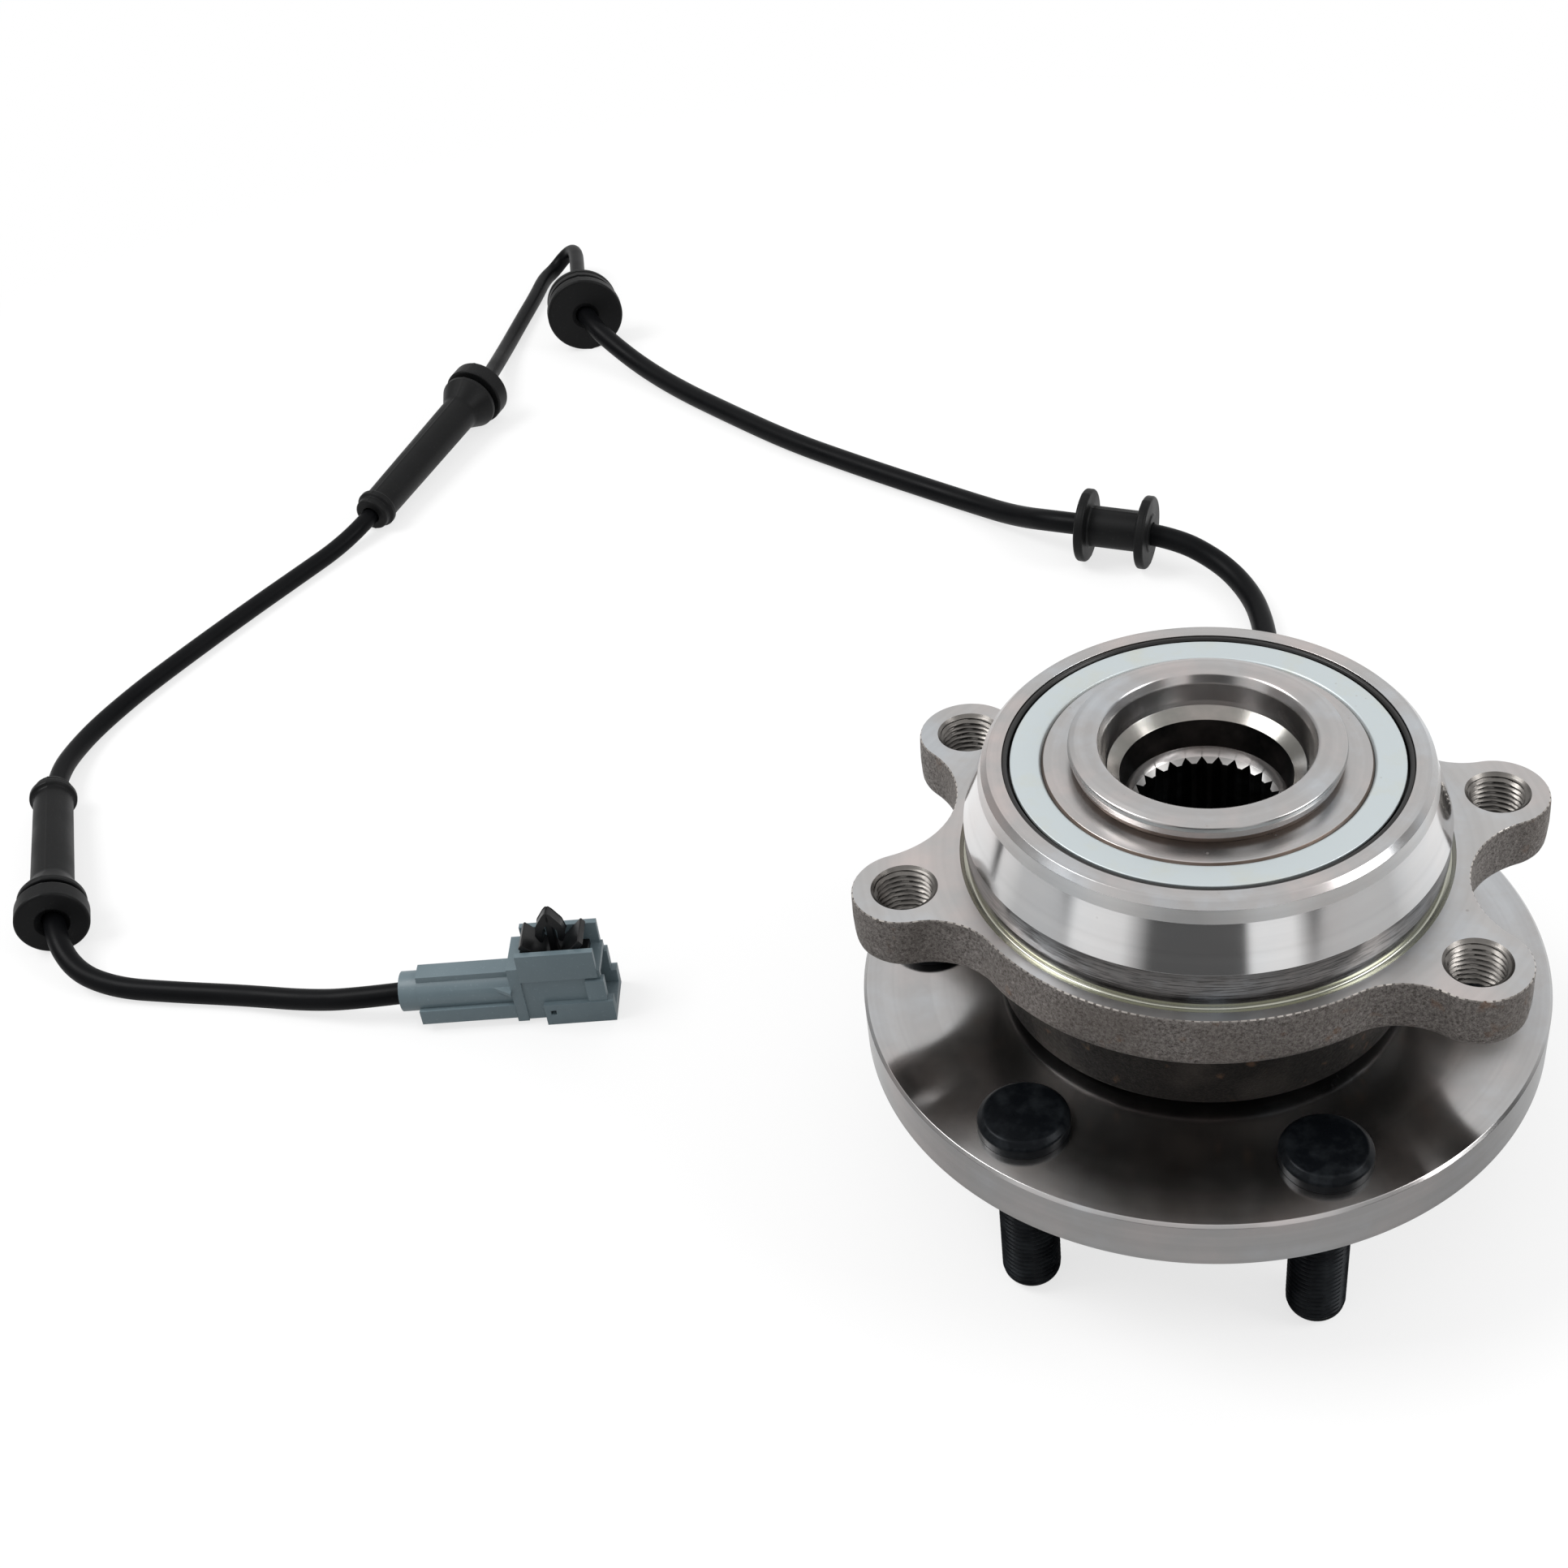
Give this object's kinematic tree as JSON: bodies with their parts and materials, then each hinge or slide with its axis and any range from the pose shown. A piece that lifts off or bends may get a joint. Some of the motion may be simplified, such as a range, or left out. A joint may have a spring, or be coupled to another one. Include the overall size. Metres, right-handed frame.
{
  "type": "wheel hub bearing",
  "caption": "Flanged wheel hub bearing with wheel studs, threaded knuckle ears and a splined bore, with its wheel speed sensor, lead, grommets and connector.",
  "frame": {"origin": "on the bearing axis, at the height of the wheel stud tips, which the part stands on", "axes": "+Z along the bearing axis from the wheel towards the knuckle, +X along the long side of the four knuckle holes, +Y towards the sensor"},
  "size_m": [0.395, 0.4408, 0.1024],
  "materials": {
    "machined_steel": "turned and lightly oiled",
    "bearing_steel": "ground",
    "black_steel": "black phosphate",
    "zinc_plate": "bright zinc plating",
    "sintered_steel": "sintered, dull",
    "forged_steel": "forged skin with turned faces",
    "seal_rubber": "moulded",
    "ball_steel": "polished",
    "cage_nylon": "moulded",
    "sensor_plastic": "moulded",
    "magnet": "plated",
    "copper_wire": "enamelled",
    "cable_jacket": "extruded, satin",
    "grommet_rubber": "moulded, matte",
    "connector_plastic": "moulded, satin",
    "tinned_contact": "tinned",
    "clip_plastic": "moulded"
  },
  "bodies": {
    "bearing_housing": {"outer_ring": "forged_steel", "inboard_seal_case": "seal_rubber", "inboard_seal_lip": "seal_rubber", "outboard_seal_case": "seal_rubber", "outboard_seal_lip": "seal_rubber", "sensor_body": "sensor_plastic", "sensor_o_ring": "seal_rubber", "sensor_screw": "zinc_plate", "sensor_limiter": "zinc_plate", "sensor_magnet": "magnet", "sensor_pole_piece": "sintered_steel", "sensor_coil": "copper_wire", "sensor_strain_relief": "grommet_rubber", "sheathed_lead": "cable_jacket", "spool_grommet": "grommet_rubber", "round_grommet": "grommet_rubber", "sensor_lead": "cable_jacket", "sleeve_grommet_upper": "grommet_rubber", "sleeve_grommet_lower": "grommet_rubber", "connector_housing": "connector_plastic", "connector_terminals": "tinned_contact", "connector_wire_seal": "seal_rubber", "connector_clip": "clip_plastic"},
    "hub": {"hub_spindle": "machined_steel", "inner_ring": "bearing_steel", "wheel_studs": "black_steel", "inboard_slinger": "zinc_plate", "tone_ring": "sintered_steel"},
    "inboard_row": {"inboard_balls": "ball_steel", "inboard_cage": "cage_nylon"},
    "outboard_row": {"outboard_balls": "ball_steel", "outboard_cage": "cage_nylon"}
  },
  "joints": [
    {"name": "hub_spin", "type": "hinge", "parent": "bearing_housing", "child": "hub", "pos_m": [0, 0, 0.07175], "axis": [0, 0, 1], "continuous": true},
    {"name": "inboard_row_orbit", "type": "hinge", "parent": "bearing_housing", "child": "inboard_row", "pos_m": [0, 0, 0.086], "axis": [0, 0, 1], "continuous": true},
    {"name": "outboard_row_orbit", "type": "hinge", "parent": "bearing_housing", "child": "outboard_row", "pos_m": [0, 0, 0.0575], "axis": [0, 0, 1], "continuous": true}
  ],
  "couplings": [
    {"joint": "inboard_row_orbit", "follows": "hub_spin", "ratio": 0.4307},
    {"joint": "outboard_row_orbit", "follows": "hub_spin", "ratio": 0.4307}
  ]
}
